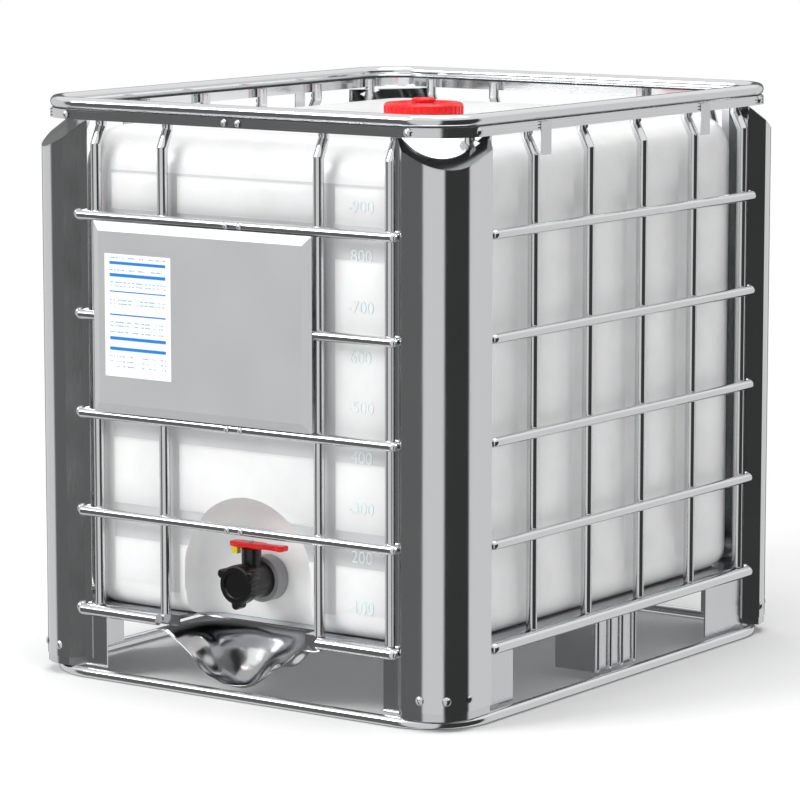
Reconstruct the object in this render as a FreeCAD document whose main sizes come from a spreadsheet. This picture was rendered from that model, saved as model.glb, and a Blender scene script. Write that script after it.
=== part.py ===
import FreeCAD, Part
import math
import os
import re
import Sketcher
from FreeCAD import Placement, Rotation, Vector

# A 1000-litre intermediate bulk container in millimetres: a blow-moulded bottle on a sheet pallet,
# inside a cage of tubes and four corner guards. X runs along the valve side, Y to the back, Z up,
# and the origin is on the ground at the centre of the footprint.

doc = FreeCAD.newDocument("IntermediateBulkContainer")
sheet = doc.addObject("Spreadsheet::Sheet", "Sizes")

SIZES = {
    "width": 1000, "depth": 1200, "seat_gap": 0.3,
    "bolt_head": 4, "bolt_radius": 10, "washer_radius": 12, "screw_radius": 5,
    # tubes of the cage
    "tube_radius": 9.5, "post_radius": 10.5, "post_press": 9, "rail_radius": 11, "ring_first_height": 328, "ring_pitch": 191.7, "rail_height": 134,
    "bar_end_gap": 5, "post_inner": 183, "post_outer": 345,
    "side_post_near": 95, "side_post_mid": 285, "side_post_far": 475,
    "post_bend_drop": 48, "post_bend_rise": 34, "twin_bolt_spacing": 32,
    # top frame
    "top_tube_radius": 11.5, "top_tube_height": 1115.5, "top_inset": 1.5, "top_corner": 110,
    "band_depth": 32, "band_height": 18, "bead_depth": 2.5, "bead_height": 3.6, "bead_gap": 2.2,
    "hook_width": 34, "hook_height": 62,
    # bottom ring and legs
    "foot_radius": 10, "foot_inset": 2, "foot_corner": 130, "foot_flat": 0.4, "leg_gauge": 3,
    "leg_reach_x": 170, "leg_reach_y": 250, "mid_leg_width": 150, "mid_leg_centre": 15,
    "mid_leg_depth": 90, "mid_leg_flute": 6,
    # corner guards
    "guard_gauge": 1.5, "guard_setback": 24, "guard_corner": 72, "guard_bottom": 35, "guard_top": 1082,
    "guard_drop": 54, "guard_bolt_height": 58,
    # reach of a guard's flange and of its step from the end of each side: two kinds of guard
    "wide_edge_x": 142, "wide_step_x": 136, "wide_edge_y": 171, "wide_step_y": 163,
    "slim_edge_x": 135, "slim_step_x": 119, "slim_edge_y": 107, "slim_step_y": 102,
    # deck pan and drain lip
    "pan_top": 145, "pan_drop": 21, "pan_gauge": 3, "pan_corner": 70, "pan_dish": 5, "pan_dish_border": 26,
    "lip_half_width": 190, "lip_bottom": 34, "lip_run": 260, "lip_gauge": 3, "notch_half_width": 150, "notch_depth": 60,
    # bottle
    "bottle_gap": 0.3, "bottle_top": 1068, "bottle_corner": 120, "bottle_shoulder": 80, "bottle_base": 45,
    "bottle_wall": 4, "neck_radius": 74, "neck_rise": 20, "neck_wall": 6, "lid_centre_y": 30,
    "recess_half_width": 150, "recess_top": 385, "recess_depth": 70,
    # lid and vent
    "lid_skirt": 5, "lid_plate": 6, "lid_clearance": 0.6, "gasket_thick": 3, "vent_radius": 24,
    "vent_neck_radius": 16, "vent_neck_rise": 3, "vent_plate": 4, "vent_lift_gap": 0.3,
    # valve
    "valve_height": 223, "valve_bore": 25, "valve_wall": 9, "valve_length": 74, "collar_radius": 44,
    "collar_length": 30, "stub_length": 26, "stub_wall": 6, "seal_thick": 2, "bonnet_radius": 19, "stem_setback": 30,
    "bonnet_top": 288, "stem_radius": 6, "disc_thick": 5, "disc_clearance": 0.4, "stem_clearance": 0.05,
    "handle_rise": 16, "handle_long": 80, "handle_short": 46, "handle_half_width": 15, "handle_thick": 10,
    "cap_radius": 38, "cap_depth": 26, "cap_plate": 5, "cap_clearance": 0.6, "cap_knob_radius": 9,
    # label plate
    "plate_left": 335, "plate_right": 184, "plate_bottom": 528, "plate_top": 895, "plate_bevel": 18,
    "plate_thick": 7.5, "sheet_width": 160, "sheet_height": 235, "sheet_thick": 0.5,
    "sheet_margin_x": 16, "sheet_margin_top": 60,
}
for row, (alias, number_value) in enumerate(SIZES.items(), start=1):
    sheet.set(f"A{row}", alias)
    sheet.set(f"B{row}", str(number_value))
    sheet.setAlias(f"B{row}", alias)
doc.recompute()

WORDS = re.compile(r"[a-z]+(?:_[a-z]+)*")


def full(text):
    """The expression `text` with each named size pointed at the sheet."""
    return WORDS.sub(lambda word: "Sizes." + word[0] if word[0] in SIZES else word[0], text)


def size(text):
    """The value of an expression of named sizes, in millimetres."""
    return float(sheet.evalExpression(full(text)))


# Planes that several pieces share, as expressions of the sheet's sizes.
GUARD_X = "(width / 2 - bolt_head)"
GUARD_Y = "(depth / 2 - bolt_head)"
FLANGE_X = f"({GUARD_X} - guard_setback)"
FLANGE_Y = f"({GUARD_Y} - guard_setback)"
POST_FOOT = "(pan_top + seat_gap)"
TOP_X = f"({GUARD_X} - top_inset)"
TOP_Y = f"({GUARD_Y} - top_inset)"
BAND_TOP = "(top_tube_height - top_tube_radius - seat_gap)"
BAND_BOTTOM = f"({BAND_TOP} - band_height)"
PAN_X = f"({FLANGE_X} - guard_gauge - seat_gap)"
PAN_Y = f"({FLANGE_Y} - guard_gauge - seat_gap)"
BOTTLE_X = f"({FLANGE_X} - guard_gauge - seat_gap - 2 * post_radius - bottle_gap)"
BOTTLE_Y = f"({FLANGE_Y} - guard_gauge - seat_gap - 2 * post_radius - bottle_gap)"
BOTTLE_BOTTOM = "(pan_top - pan_dish + seat_gap)"
LEG_TOP = "(pan_top - pan_drop - seat_gap)"
LEG_BOTTOM = "(2 * foot_radius - foot_flat + seat_gap)"
NECK_TOP = "(bottle_top + neck_rise)"
STUB_FACE = f"({BOTTLE_Y} - recess_depth)"
VALVE_BACK = f"({STUB_FACE} + stub_length + seal_thick + 2 * seat_gap)"
VALVE_FRONT = f"({VALVE_BACK} + valve_length)"
STEM_Y = f"({VALVE_BACK} + stem_setback)"
HANDLE_BASE = "(bonnet_top + seat_gap)"
PLATE_BACK = f"({FLANGE_Y} + seat_gap + 2 * tube_radius + seat_gap)"

nodes = {}


def bind(thing, **expressions):
    """Ties properties of an object to expressions of the sheet."""
    for name, text in expressions.items():
        thing.setExpression(name, full(text))
    return thing


def place(thing, x="0", y="0", z="0", rotation=None):
    """Sets where an object stands: three expressions and a fixed rotation."""
    if rotation is not None:
        thing.Placement = Placement(Vector(), rotation)
    for axis, text in (("x", x), ("y", y), ("z", z)):
        thing.setExpression(f"Placement.Base.{axis}", full(text))
    return thing


def keep(name, thing):
    """Names the object that becomes one sub-part."""
    thing.Label = name
    nodes[name] = thing
    return thing


AIM = {
    "x": Rotation(Vector(0, 0, 1), Vector(1, 0, 0)), "-x": Rotation(Vector(0, 0, 1), Vector(-1, 0, 0)),
    "y": Rotation(Vector(0, 0, 1), Vector(0, 1, 0)), "-y": Rotation(Vector(0, 0, 1), Vector(0, -1, 0)),
    "z": Rotation(),
}


def cylinder(radius, length, x, y, z, aim="z"):
    bar = doc.addObject("Part::Cylinder", "Bar")
    bind(bar, Radius=radius, Height=length)
    return place(bar, x, y, z, AIM[aim])


def ball(radius, x, y, z):
    sphere = doc.addObject("Part::Sphere", "Ball")
    bind(sphere, Radius=radius)
    return place(sphere, x, y, z)


def box(length, width, height, x, y, z):
    block = doc.addObject("Part::Box", "Block")
    bind(block, Length=length, Width=width, Height=height)
    return place(block, x, y, z)


def fuse(things):
    joined = doc.addObject("Part::MultiFuse", "Fuse")
    joined.Shapes = things
    joined.Refine = True
    return joined


def cut(base, tool):
    left = doc.addObject("Part::Cut", "Cut")
    left.Base = base
    left.Tool = tool
    return left


def group(things):
    """Separate solids of one sub-part."""
    together = doc.addObject("Part::Compound", "Group")
    together.Links = things
    return together


def solid(shape):
    """A sub-part whose form has no feature of its own, such as pressed sheet."""
    thing = doc.addObject("Part::Feature", "Pressed")
    thing.Shape = shape
    return thing


def rounded_sketch(body, half_x, half_y, radius, height):
    """A centred rectangle with round corners on a body's XY plane, lifted to `height`."""
    sketch = body.newObject("Sketcher::SketchObject", "Outline")
    plane = next(part for part in body.Origin.OriginFeatures if part.Role == "XY_Plane")
    sketch.AttachmentSupport = (plane, "")
    sketch.MapMode = "FlatFace"
    bind(sketch, **{"AttachmentOffset.Base.z": height})
    x, y, r = size(half_x), size(half_y), size(radius)
    corners = [(x - r, y - r, 0), (r - x, y - r, 90), (r - x, r - y, 180), (x - r, r - y, 270)]
    lines = [((x, r - y), (x, y - r)), ((x - r, y), (r - x, y)),
             ((-x, y - r), (-x, r - y)), ((r - x, -y), (x - r, -y))]
    for (start, end), (cx, cy, angle) in zip(lines, corners):
        sketch.addGeometry(Part.LineSegment(Vector(*start, 0), Vector(*end, 0)))
        circle = Part.Circle(Vector(cx, cy, 0), Vector(0, 0, 1), r)
        sketch.addGeometry(Part.ArcOfCircle(circle, math.radians(angle), math.radians(angle + 90)))
    for side in range(4):
        sketch.addConstraint(Sketcher.Constraint("Tangent", 2 * side, 2, 2 * side + 1, 1))
        sketch.addConstraint(Sketcher.Constraint("Tangent", 2 * side + 1, 2, (2 * side + 2) % 8, 1))
    sketch.addConstraint(Sketcher.Constraint("Symmetric", 0, 1, 0, 2, -1))
    sketch.addConstraint(Sketcher.Constraint("Symmetric", 2, 1, 2, 2, -2))
    sketch.addConstraint(Sketcher.Constraint("Vertical", 4))
    sketch.addConstraint(Sketcher.Constraint("Horizontal", 6))
    for arc in (3, 5, 7):
        sketch.addConstraint(Sketcher.Constraint("Equal", 1, arc))
    driven = ((("Radius", 1), radius), (("DistanceX", -1, 1, 0, 1), half_x), (("DistanceY", -1, 1, 2, 1), half_y))
    for kind, text in driven:
        index = sketch.addConstraint(Sketcher.Constraint(*kind, size(text)))
        sketch.setExpression(f"Constraints[{index}]", full(text))
    return sketch


def slab(half_x, half_y, radius, bottom, height):
    """An upright block with round vertical corners."""
    body = doc.addObject("PartDesign::Body", "Slab")
    pad = body.newObject("PartDesign::Pad", "Pad")
    pad.Profile = rounded_sketch(body, half_x, half_y, radius, bottom)
    bind(pad, Length=height)
    body.Tip = pad
    return body


def tube_ring(half_x, half_y, corner, radius, height):
    """A closed rounded rectangle of round tube; the half sizes are to its axis."""
    pieces = []
    for sign in ("", "-"):
        pieces.append(cylinder(radius, f"2 * ({half_x} - {corner})", f"-({half_x} - {corner})", f"{sign}({half_y})", height, "x"))
        pieces.append(cylinder(radius, f"2 * ({half_y} - {corner})", f"{sign}({half_x})", f"-({half_y} - {corner})", height, "y"))
    for quarter, (sx, sy) in enumerate((("", ""), ("-", ""), ("-", "-"), ("", "-"))):
        bend = doc.addObject("Part::Torus", "Bend")
        bind(bend, Radius1=corner, Radius2=radius)
        bend.Angle3 = 90
        place(bend, f"{sx}({half_x} - {corner})", f"{sy}({half_y} - {corner})", height, Rotation(Vector(0, 0, 1), 90 * quarter))
        pieces.append(bend)
    return fuse(pieces)


FACES = ("front", "back", "left", "right")
LONG_WAY = {"front": "x", "back": "x", "left": "y", "right": "y"}
SIGN = {"front": "-", "back": "", "left": "-", "right": ""}
SLOPE_AXIS = {"front": (-1, 0, 0), "back": (1, 0, 0), "left": (0, 1, 0), "right": (0, -1, 0)}
# The kind of guard at the low and at the high end of each side; opposite corners are alike.
GUARDS_OF = {"front": ("slim", "wide"), "back": ("wide", "slim"), "left": ("slim", "wide"), "right": ("wide", "slim")}


def on_face(face, along, out):
    """X and Y expressions of a point of a side of the cage."""
    outward = f"{SIGN[face]}({out})"
    return (along, outward) if LONG_WAY[face] == "x" else (outward, along)


def flange_of(face):
    return FLANGE_Y if LONG_WAY[face] == "x" else FLANGE_X


def cross_bar(face, radius, height):
    """A round-ended tube across one side, seated on the flanges of its two guards."""
    whole, step = ("width", "step_x") if LONG_WAY[face] == "x" else ("depth", "step_y")
    low, high = [f"({whole} / 2 - {kind}_{step} - bar_end_gap)" for kind in GUARDS_OF[face]]
    out = f"{flange_of(face)} + seat_gap + {radius}"
    ends = [on_face(face, f"-{low}", out), on_face(face, high, out)]
    bar = cylinder(radius, f"{low} + {high}", *ends[0], height, LONG_WAY[face])
    return fuse([bar] + [ball(radius, *end, height) for end in ends])


BAR_HEIGHTS = [f"ring_first_height + {level} * ring_pitch" for level in range(4)]


def post(face, along, pressed):
    """An upright pressed against the cross bars, or behind a guard's flange; its top bends inward."""
    radius = "post_radius"
    behind = f"({flange_of(face)} - guard_gauge - seat_gap - {radius})"
    out = f"({behind} + post_press)" if pressed else behind
    band_face = TOP_Y if LONG_WAY[face] == "x" else TOP_X
    top_out = f"({band_face} - band_depth - seat_gap - {radius})"
    shift = f"({out} - {top_out})"
    bend_start = f"({BAND_BOTTOM} - post_bend_drop)"
    bend_end = f"({bend_start} + post_bend_rise)"
    low = on_face(face, along, out)
    high = on_face(face, along, top_out)
    straight = cylinder(radius, f"{bend_start} - {POST_FOOT}", *low, POST_FOOT)
    slope = cylinder(radius, f"sqrt({shift} ^ 2 + post_bend_rise ^ 2)", *low, bend_start)
    slope.Placement.Rotation = Rotation(Vector(*SLOPE_AXIS[face]), 1)
    bind(slope, **{"Placement.Rotation.Angle": f"atan({shift} / post_bend_rise)"})
    top = cylinder(radius, f"{BAND_TOP} - seat_gap - {bend_end}", *high, bend_end)
    tube = fuse([straight, ball(radius, *low, bend_start), slope, ball(radius, *high, bend_end), top])
    if not pressed:
        return tube
    corner = on_face(face, f"{along} - 2 * {radius}", f"{flange_of(face)} + seat_gap + tube_radius")
    seats = [cylinder("tube_radius + seat_gap", f"4 * {radius}", *corner, height, LONG_WAY[face])
             for height in BAR_HEIGHTS]
    return cut(tube, fuse(seats))


# Cage: four cross bars, one deck rail and the uprights on each side.
POSTS = {"x": ("post_inner", "post_outer"), "y": ("side_post_near", "side_post_mid", "side_post_far")}
# The posts hidden behind the flange of a wide guard stand straight behind it.
HIDDEN = {("left", "side_post_far"), ("right", "-side_post_far")}
for face in FACES:
    keep(f"cross_bars_{face}", group([cross_bar(face, "tube_radius", height) for height in BAR_HEIGHTS]))
    rail = cross_bar(face, "rail_radius", "rail_height")
    if face == "front":
        spout = box("2 * lip_half_width", "4 * rail_radius", "4 * rail_radius", "-lip_half_width",
                    f"-({FLANGE_Y} + 3 * rail_radius)", "rail_height - 2 * rail_radius")
        rail = cut(rail, spout)
    keep(f"deck_rail_{face}", rail)
    places = [sign + name for name in POSTS[LONG_WAY[face]] for sign in ("-", "")]
    keep(f"uprights_{face}", group([post(face, along, (face, along) not in HIDDEN) for along in places]))

# Top frame: a round tube over a beaded band. Its corners are rounder than the guards below.
tube_x, tube_y = f"({TOP_X} - top_tube_radius)", f"({TOP_Y} - top_tube_radius)"
top_ring = tube_ring(tube_x, tube_y, "(top_corner - top_tube_radius)", "top_tube_radius", "top_tube_height")
band = slab(f"{TOP_X} - bead_depth", f"{TOP_Y} - bead_depth", "top_corner - bead_depth", BAND_BOTTOM, "band_height")
band_hole = slab(f"{TOP_X} - band_depth", f"{TOP_Y} - band_depth", "top_corner - band_depth", BAND_BOTTOM, "band_height")
beads = [
    slab(TOP_X, TOP_Y, "top_corner", f"{BAND_BOTTOM} + {level} * (bead_height + bead_gap)", "bead_height")
    for level in range(3)
]
keep("top_tube", top_ring)
keep("top_band", cut(fuse([band] + beads), band_hole))

# Bottom ring, which stands on the ground.
foot_x = "(width / 2 - foot_inset - foot_radius)"
foot_y = "(depth / 2 - foot_inset - foot_radius)"
foot_tube = tube_ring(foot_x, foot_y, "(foot_corner - foot_radius)", "foot_radius", "(foot_radius - foot_flat)")
below_ground = box("width", "depth", "foot_radius", "-width / 2", "-depth / 2", "-foot_radius")
keep("bottom_ring", cut(foot_tube, below_ground))

# Corner guards and legs share one stepped corner outline, drawn for the corner at +X, +Y.
STEP_SHARE = math.tan(math.radians(22.5))


def corner_path(kind, inward, reach_x, reach_y):
    """Points and arc of the stepped outline, moved inward, from its front flange to its side flange."""
    guard_x, guard_y, setback = size(GUARD_X), size(GUARD_Y), size("guard_setback")
    step_x = size(f"width / 2 - {kind}_step_x") + STEP_SHARE * inward
    step_y = size(f"depth / 2 - {kind}_step_y") + STEP_SHARE * inward
    r = size("guard_corner")
    centre = Vector(guard_x - r, guard_y - r, 0)
    ring = r - inward
    start, end = centre + Vector(0, ring, 0), centre + Vector(ring, 0, 0)
    middle = centre + Vector(ring, ring, 0) * math.sqrt(0.5)
    before = [Vector(reach_x, guard_y - setback - inward, 0), Vector(step_x, guard_y - setback - inward, 0),
              Vector(step_x + setback, guard_y - inward, 0), start]
    after = [end, Vector(guard_x - inward, step_y + setback, 0),
             Vector(guard_x - setback - inward, step_y, 0), Vector(guard_x - setback - inward, reach_y, 0)]
    return before, Part.Arc(start, middle, end), after


def edges_of(path):
    before, arc, after = path
    lines = [Part.LineSegment(a, b).toShape() for run in (before, after) for a, b in zip(run, run[1:])]
    return lines[:3] + [arc.toShape()] + lines[3:]


def corner_shell(kind, inward, gauge, reach_x, reach_y, bottom, top):
    """A pressed corner of even gauge between two heights."""
    outer = corner_path(kind, inward, reach_x, reach_y)
    inner = corner_path(kind, inward + gauge, reach_x, reach_y)
    ends = [Part.LineSegment(outer[0][0], inner[0][0]).toShape(), Part.LineSegment(outer[2][-1], inner[2][-1]).toShape()]
    wire = Part.Wire(Part.__sortEdges__(edges_of(outer) + ends + edges_of(inner)))
    face = Part.Face(wire)
    face.translate(Vector(0, 0, bottom))
    return face.extrude(Vector(0, 0, top - bottom))


def flange_ends(kind):
    return size(f"width / 2 - {kind}_edge_x"), size(f"depth / 2 - {kind}_edge_y")


def under_slant(kind, lift):
    """The half space below a guard's slanted top, moved up by `lift`: it falls towards the corner."""
    edge_x, edge_y = flange_ends(kind)
    first, second = Vector(edge_x, size(FLANGE_Y), 0), Vector(size(FLANGE_X), edge_y, 0)
    radius = size("guard_corner")
    centre = Vector(size(GUARD_X) - radius, size(GUARD_Y) - radius, 0)
    along = (second - first).normalize()
    outward = Vector(-along.y, along.x, 0)
    if outward.dot(Vector(size(GUARD_X), size(GUARD_Y), 0) - first) < 0:
        outward = -outward
    run = (centre - first).dot(outward) + radius
    falling = (outward * run - Vector(0, 0, size("guard_drop"))).normalize()
    up = along.cross(falling)
    if up.z < 0:
        up = -up
    reach = size("width")
    block = Part.makeBox(2 * reach, 2 * reach, reach, Vector(-reach, -reach, -reach))
    block.Placement = Placement(first + Vector(0, 0, size("guard_top") + lift), Rotation(Vector(0, 0, 1), up))
    return block


def guard_shape(kind):
    shell = corner_shell(kind, 0, size("guard_gauge"), *flange_ends(kind), size("guard_bottom"), size("guard_top"))
    return shell.common(under_slant(kind, 0))


def guard_cap_shape(kind):
    """The slanted plate that closes a guard's top."""
    outer = corner_path(kind, 0, *flange_ends(kind))
    chord = Part.LineSegment(outer[2][-1], outer[0][0]).toShape()
    prism = Part.Face(Part.Wire(Part.__sortEdges__(edges_of(outer) + [chord]))).extrude(Vector(0, 0, size(BAND_TOP)))
    gap, radius = size("seat_gap"), size("tube_radius")
    plate = prism.common(under_slant(kind, gap + size("guard_gauge"))).cut(under_slant(kind, gap))
    notch = Part.makeBox(4 * radius, 2 * radius + 4, size(BAND_TOP))
    notch.translate(Vector(size(f"{FLANGE_X} - guard_gauge") - 4 * radius, size("side_post_far") - radius - 2, 0))
    return plate.cut(notch)


def leg_shape(kind):
    """A pressed leg that nests inside the guard and stands on the bottom ring."""
    inward = size("guard_gauge + seat_gap")
    reach_x, reach_y = size("width / 2 - leg_reach_x"), size("depth / 2 - leg_reach_y")
    return corner_shell(kind, inward, size("leg_gauge"), reach_x, reach_y, size(LEG_BOTTOM), size(LEG_TOP))


CORNERS = {"back_right": (1, 1), "back_left": (-1, 1), "front_right": (1, -1), "front_left": (-1, -1)}
KINDS = {"back_right": "slim", "back_left": "wide", "front_right": "wide", "front_left": "slim"}


def mirrored(shape, signs):
    for sign, normal in zip(signs, (Vector(1, 0, 0), Vector(0, 1, 0))):
        if sign < 0:
            shape = shape.mirror(Vector(), normal)
    return shape


for corner, signs in CORNERS.items():
    keep(f"corner_guard_{corner}", solid(mirrored(guard_shape(KINDS[corner]), signs)))
    keep(f"guard_cap_{corner}", solid(mirrored(guard_cap_shape(KINDS[corner]), signs)))
    keep(f"corner_leg_{corner}", solid(mirrored(leg_shape(KINDS[corner]), signs)))

# Fluted middle legs under the two long sides, open towards the middle of the pallet.
for side, sign in (("left", "-"), ("right", "")):
    low, tall = LEG_BOTTOM, f"{LEG_TOP} - {LEG_BOTTOM}"
    near = "(mid_leg_centre - mid_leg_width / 2)"
    outer = f"({FLANGE_X} - mid_leg_flute)"
    start = f"{outer} - mid_leg_depth" if sign == "" else f"-{outer}"
    hollow = f"{outer} - mid_leg_depth - leg_gauge" if sign == "" else f"-{outer} + leg_gauge"
    block = box("mid_leg_depth", "mid_leg_width", tall, start, near, low)
    inside = box("mid_leg_depth", "mid_leg_width - 2 * leg_gauge", tall, hollow, f"{near} + leg_gauge", low)
    flutes = [
        cylinder("mid_leg_flute", tall, f"{sign}{outer}", f"{near} + mid_leg_width * {share}", low)
        for share in (0.06, 0.36, 0.64, 0.94)
    ]
    keep(f"mid_leg_{side}", fuse([cut(block, inside)] + flutes))

# Deck pan: a shallow tray with a skirt, dished on top where the bottle stands.
pan_block = slab(PAN_X, PAN_Y, "pan_corner", "pan_top - pan_drop", "pan_drop")
pan_under = slab(f"{PAN_X} - pan_gauge", f"{PAN_Y} - pan_gauge", "pan_corner - pan_gauge", "pan_top - pan_drop",
                 "pan_drop - pan_dish - pan_gauge")
pan_dish = slab(f"{PAN_X} - pan_dish_border", f"{PAN_Y} - pan_dish_border", "pan_corner - pan_dish_border",
                "pan_top - pan_dish", "pan_dish")
spout_notch = box("2 * notch_half_width", "notch_depth + pan_gauge", "2 * pan_drop", "-notch_half_width",
                  f"-({PAN_Y} + pan_gauge)", "pan_top - 1.5 * pan_drop")
keep("deck_pan", cut(cut(pan_block, pan_under), fuse([pan_dish, spout_notch])))


def drain_lip_shape():
    """A V-shaped pressed chute under the valve: deep at the front edge, rising to the pan behind."""
    half, run, gauge = size("lip_half_width"), size("lip_run"), size("lip_gauge")
    front = -size(FLANGE_Y) - size("seat_gap") - size("rail_radius")
    top, low = size("rail_height - rail_radius - seat_gap"), size("lip_bottom")

    def section(y, depth, lift):
        points = [(-half, top), (-0.72 * half, top - 0.1 * depth), (-0.2 * half, top - 0.88 * depth), (0, top - depth),
                  (0.22 * half, top - 0.8 * depth), (0.7 * half, top - 0.12 * depth), (half, top)]
        corners = [Vector(x, y, z + lift) for x, z in points]
        corners += [Vector(x, y, z + lift + gauge) for x, z in reversed(points)]
        return Part.makePolygon(corners + corners[:1])

    deep = top - low
    return Part.makeLoft([section(front, deep, -gauge), section(front + run, 0.25 * deep, -gauge)], True, True)


keep("drain_lip", solid(drain_lip_shape()))

# Sleeves that hook two uprights of each long side over the top band.
for side, sign in (("left", "-"), ("right", "")):
    sleeves = []
    for along in ("-side_post_mid", "side_post_mid"):
        out = f"{TOP_X} + seat_gap"
        x = out if sign == "" else f"-({out} + guard_gauge)"
        low = f"{BAND_TOP} - 2 - hook_height"
        sleeves.append(box("guard_gauge", "hook_width", "hook_height", x, f"{along} - hook_width / 2", low))
    keep(f"upright_hooks_{side}", group(sleeves))


def bolt(x, y, z, outward, radius, height):
    """A low button head whose flat side is at the given point; `outward` is its axis in plan."""
    head = Part.makeSphere(radius * 1.15, Vector(0, 0, height - radius * 1.15))
    head = head.common(Part.makeCylinder(radius, height))
    head.rotate(Vector(), Vector(0, 1, 0), 90)
    head.rotate(Vector(), Vector(0, 0, 1), math.degrees(math.atan2(outward[1], outward[0])))
    head.translate(Vector(x, y, z))
    return head


def corner_bolts(half_x, half_y, corner, height, angles, radius):
    """Bolts round the four corners, at angles from the X axis about each corner's centre."""
    head, gap = size("bolt_head"), size("seat_gap")
    heads = []
    for sx, sy in CORNERS.values():
        for angle in angles:
            across, deep = math.cos(math.radians(angle)), math.sin(math.radians(angle))
            x = half_x - corner + (corner + gap) * across
            y = half_y - corner + (corner + gap) * deep
            heads.append(bolt(sx * x, sy * y, height, (sx * across, sy * deep), radius, head - gap))
    return Part.makeCompound(heads)


foot_bolts = corner_bolts(size(GUARD_X), size(GUARD_Y), size("guard_corner"), size("guard_bolt_height"), (4, 45, 86),
                          size("bolt_radius"))
keep("guard_foot_bolts", solid(foot_bolts))
top_bolts = corner_bolts(size(TOP_X), size(TOP_Y), size("top_corner"), size(f"{BAND_BOTTOM} + band_height / 2"), (8, 82),
                         size("washer_radius - 3"))
keep("top_frame_bolts", solid(top_bolts))


def twin_bolts_shape():
    """Pairs of button heads at the middle of the front cross bars and of the top band."""
    front = size(f"{FLANGE_Y} + seat_gap + 2 * tube_radius")
    heights = [size(f"ring_first_height + {level} * ring_pitch") for level in (0, 1, 3)]
    spots = [(front, height) for height in heights] + [(size(TOP_Y), size(f"{BAND_BOTTOM} + band_height / 2"))]
    half, gap = size("twin_bolt_spacing") / 2, size("seat_gap")
    heads = [
        bolt(x, -out - gap, height, (0, -1), size("screw_radius + 2"), size("bolt_head"))
        for out, height in spots for x in (-half, half)
    ]
    return Part.makeCompound(heads)


keep("twin_bolts", solid(twin_bolts_shape()))


def post_screws_shape():
    """One small screw in the top of each upright, just below the band, on its outer side."""
    height = size(f"{BAND_BOTTOM} - screw_radius - 2")
    heads = []
    for face in FACES:
        along_x = LONG_WAY[face] == "x"
        band_face = size(TOP_Y if along_x else TOP_X)
        out = band_face - size("band_depth")
        sign = -1 if SIGN[face] == "-" else 1
        for name in POSTS[LONG_WAY[face]]:
            for side in (-1, 1):
                spot = (side * size(name), sign * out) if along_x else (sign * out, side * size(name))
                outward = (0, sign) if along_x else (sign, 0)
                heads.append(bolt(*spot, height, outward, size("screw_radius"), size("bolt_head") - 1))
    return Part.makeCompound(heads)


keep("upright_screws", solid(post_screws_shape()))


# Bottle: a rounded hollow box with a screw neck on top and an arched valve recess at the front.
def rounded_block(half_x, half_y, corner, bottom, top, base_round, top_round):
    """A block with round vertical corners and differently rounded bottom and top edges."""
    block = Part.makeBox(2 * half_x, 2 * half_y, top - bottom, Vector(-half_x, -half_y, bottom))
    upright = [edge for edge in block.Edges if abs(edge.tangentAt(edge.FirstParameter).z) > 0.9]
    block = block.makeFillet(corner, upright)
    for level, radius in ((top, top_round), (bottom, base_round)):
        rim = [edge for edge in block.Edges if all(abs(v.Z - level) < 1e-6 for v in edge.Vertexes)]
        block = block.makeFillet(radius, rim)
    return block


def recess_shape(grow):
    """The arched space for the valve, made larger by `grow` on every side inside the bottle."""
    half, top = size("recess_half_width") + grow, size("recess_top") + grow
    bottom, y = size(BOTTLE_BOTTOM) - 1, size(BOTTLE_Y)
    arch_z = top - half
    back = size(STUB_FACE) - grow
    face = Part.Face(Part.makePolygon([Vector(-half, -back, bottom), Vector(half, -back, bottom), Vector(half, -back, arch_z),
                                       Vector(-half, -back, arch_z), Vector(-half, -back, bottom)]))
    deep = y + 1 - back
    low = face.extrude(Vector(0, -deep, 0))
    arch = Part.makeCylinder(half, deep, Vector(0, -back, arch_z), Vector(0, -1, 0))
    return low.fuse(arch).removeSplitter()


def bottle_shape():
    wall, neck_wall = size("bottle_wall"), size("neck_wall")
    half_x, half_y, corner = size(BOTTLE_X), size(BOTTLE_Y), size("bottle_corner")
    bottom, top = size(BOTTLE_BOTTOM), size("bottle_top")
    outer = rounded_block(half_x, half_y, corner, bottom, top, size("bottle_base"), size("bottle_shoulder"))
    inner = rounded_block(half_x - wall, half_y - wall, corner - wall, bottom + wall, top - wall,
                          size("bottle_base") - wall, size("bottle_shoulder") - wall)
    outer = outer.cut(recess_shape(0))
    inner = inner.cut(recess_shape(wall))
    axis = Vector(0, size("lid_centre_y"), top - 2 * wall)
    rise = size(NECK_TOP) - axis.z
    neck = Part.makeCylinder(size("neck_radius"), rise, axis)
    mouth = Part.makeCylinder(size("neck_radius") - neck_wall, rise + 1, axis)
    back = Vector(0, -size(STUB_FACE) + wall, size("valve_height"))
    stub_length = size("stub_length") + wall
    stub = Part.makeCylinder(size("valve_bore + stub_wall"), stub_length, back, Vector(0, -1, 0))
    outlet = Part.makeCylinder(size("valve_bore"), stub_length + 2 * wall, back + Vector(0, wall, 0), Vector(0, -1, 0))
    return outer.fuse([neck, stub]).cut(inner).cut(mouth).cut(outlet).removeSplitter()


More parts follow.
